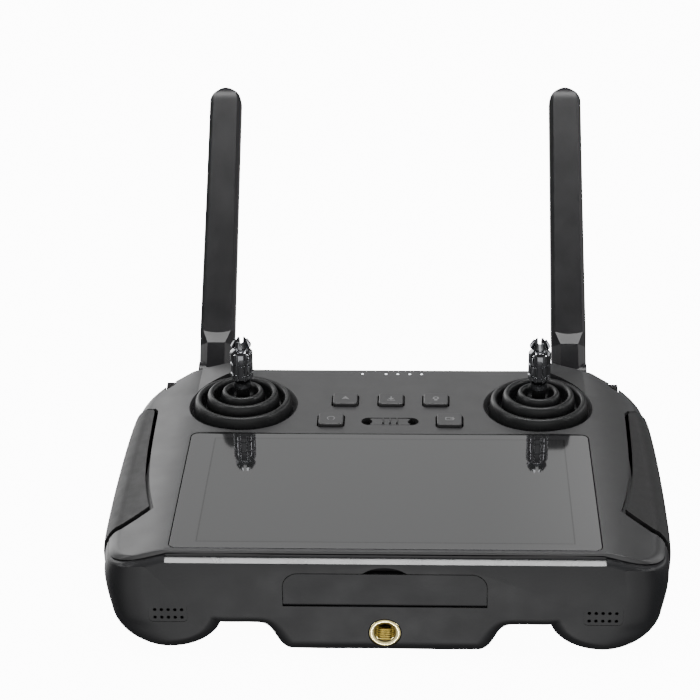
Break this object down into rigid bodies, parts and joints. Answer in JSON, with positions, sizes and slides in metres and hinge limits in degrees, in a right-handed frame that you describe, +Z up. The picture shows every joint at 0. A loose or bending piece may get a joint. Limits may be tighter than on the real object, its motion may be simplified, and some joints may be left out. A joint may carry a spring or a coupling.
{
  "type": "handheld radio transmitter controller",
  "caption": "Handheld radio transmitter with a large built-in touch screen, sprung thumb sticks on rubber bellows, push keys, side grips and folding antennas.",
  "frame": {"origin": "middle of the flat underside that the controller rests on", "axes": "+X to the user's right, +Y away from the user towards the antennas, +Z up out of the screen"},
  "size_m": [0.191, 0.2173, 0.1183],
  "materials": {
    "case": "fine matte texture",
    "rubber": "matte",
    "glass": "polished, black behind",
    "key": "satin",
    "steel": "satin",
    "dark_metal": "dark anodised, polished",
    "brass": "turned",
    "board": "solder mask",
    "light": "clear moulded",
    "cell": "shrink wrap"
  },
  "bodies": {
    "housing": {"battery_pack": "cell", "bottom_shell": "case", "display_module": "dark_metal", "front_left_screw": "steel", "front_right_screw": "steel", "key_mat": "rubber", "left_antenna_bracket": "case", "left_antenna_lead": "rubber", "left_antenna_pin": "steel", "left_boot": "rubber", "left_dial_encoder": "steel", "left_gimbal_frame": "case", "left_grip": "rubber", "left_pitch_spring": "steel", "left_speaker": "rubber", "left_tilt_sensor": "board", "light_guide": "light", "main_board": "board", "mode_switch": "steel", "radio_board": "board", "radio_shield": "steel", "rear_left_screw": "steel", "rear_right_screw": "steel", "right_antenna_bracket": "case", "right_antenna_lead": "rubber", "right_antenna_pin": "steel", "right_boot": "rubber", "right_dial_encoder": "steel", "right_gimbal_frame": "case", "right_grip": "rubber", "right_pitch_spring": "steel", "right_speaker": "rubber", "right_tilt_sensor": "board", "screen_glass": "glass", "thread_insert": "brass", "top_shell": "case", "usb_port": "steel", "video_port": "steel"},
    "left_gimbal": {"left_gimbal_ring": "dark_metal"},
    "right_gimbal": {"right_gimbal_ring": "dark_metal"},
    "left_stick": {"left_stick_shaft": "case", "left_stick_end": "dark_metal"},
    "right_stick": {"right_stick_shaft": "case", "right_stick_end": "dark_metal"},
    "key_a": {"key_left": "key"},
    "key_b": {"key_middle": "key"},
    "key_c": {"key_right": "key"},
    "key_d": {"key_lower_left": "key"},
    "key_e": {"key_lower_right": "key"},
    "slider": {"mode_slider": "key"},
    "left_wheel": {"left_dial": "case", "left_dial_shaft": "steel"},
    "right_wheel": {"right_dial": "case", "right_dial_shaft": "steel"},
    "cover": {"port_cover": "case"},
    "left_mast": {"left_antenna": "case"},
    "right_mast": {"right_antenna": "case"}
  },
  "joints": [
    {"name": "left_gimbal_pitch", "type": "hinge", "parent": "housing", "child": "left_gimbal", "pos_m": [-0.0536, 0.037, 0.028], "axis": [1, 0, 0], "range_deg": [-20, 20], "stiffness_Nm_per_rad": 0.05, "deforming": ["left_boot", "left_pitch_spring"]},
    {"name": "left_stick_roll", "type": "hinge", "parent": "left_gimbal", "child": "left_stick", "pos_m": [-0.0536, 0.037, 0.028], "axis": [0, 1, 0], "range_deg": [-20, 20], "stiffness_Nm_per_rad": 0.05, "deforming": ["left_boot"]},
    {"name": "right_gimbal_pitch", "type": "hinge", "parent": "housing", "child": "right_gimbal", "pos_m": [0.0536, 0.037, 0.028], "axis": [1, 0, 0], "range_deg": [-20, 20], "stiffness_Nm_per_rad": 0.05, "deforming": ["right_boot", "right_pitch_spring"]},
    {"name": "right_stick_roll", "type": "hinge", "parent": "right_gimbal", "child": "right_stick", "pos_m": [0.0536, 0.037, 0.028], "axis": [0, 1, 0], "range_deg": [-20, 20], "stiffness_Nm_per_rad": 0.05, "deforming": ["right_boot"]},
    {"name": "key_left_press", "type": "slide", "parent": "housing", "child": "key_a", "axis": [0, 0, -1], "range_m": [0, 0.0006], "stiffness_N_per_m": 600},
    {"name": "key_middle_press", "type": "slide", "parent": "housing", "child": "key_b", "axis": [0, 0, -1], "range_m": [0, 0.0006], "stiffness_N_per_m": 600},
    {"name": "key_right_press", "type": "slide", "parent": "housing", "child": "key_c", "axis": [0, 0, -1], "range_m": [0, 0.0006], "stiffness_N_per_m": 600},
    {"name": "key_lower_left_press", "type": "slide", "parent": "housing", "child": "key_d", "axis": [0, 0, -1], "range_m": [0, 0.0006], "stiffness_N_per_m": 600},
    {"name": "key_lower_right_press", "type": "slide", "parent": "housing", "child": "key_e", "axis": [0, 0, -1], "range_m": [0, 0.0006], "stiffness_N_per_m": 600},
    {"name": "mode_slide", "type": "slide", "parent": "housing", "child": "slider", "axis": [1, 0, 0], "range_m": [-0.002, 0.002]},
    {"name": "left_dial_turn", "type": "hinge", "parent": "housing", "child": "left_wheel", "pos_m": [-0.0817, 0.058, 0.0303], "axis": [1, 0, 0], "range_deg": [-30, 30], "stiffness_Nm_per_rad": 0.01},
    {"name": "right_dial_turn", "type": "hinge", "parent": "housing", "child": "right_wheel", "pos_m": [0.0817, 0.058, 0.0303], "axis": [1, 0, 0], "range_deg": [-30, 30], "stiffness_Nm_per_rad": 0.01},
    {"name": "port_cover_hinge", "type": "hinge", "parent": "housing", "child": "cover", "pos_m": [0, -0.0639, 0.01995], "axis": [1, 0, 0], "range_deg": [0, 100]},
    {"name": "left_antenna_fold", "type": "hinge", "parent": "housing", "child": "left_mast", "pos_m": [-0.0667, 0.0708, 0.0342], "axis": [1, 0, 0], "range_deg": [-46, 44]},
    {"name": "right_antenna_fold", "type": "hinge", "parent": "housing", "child": "right_mast", "pos_m": [0.0667, 0.0708, 0.0342], "axis": [1, 0, 0], "range_deg": [-46, 44]}
  ]
}
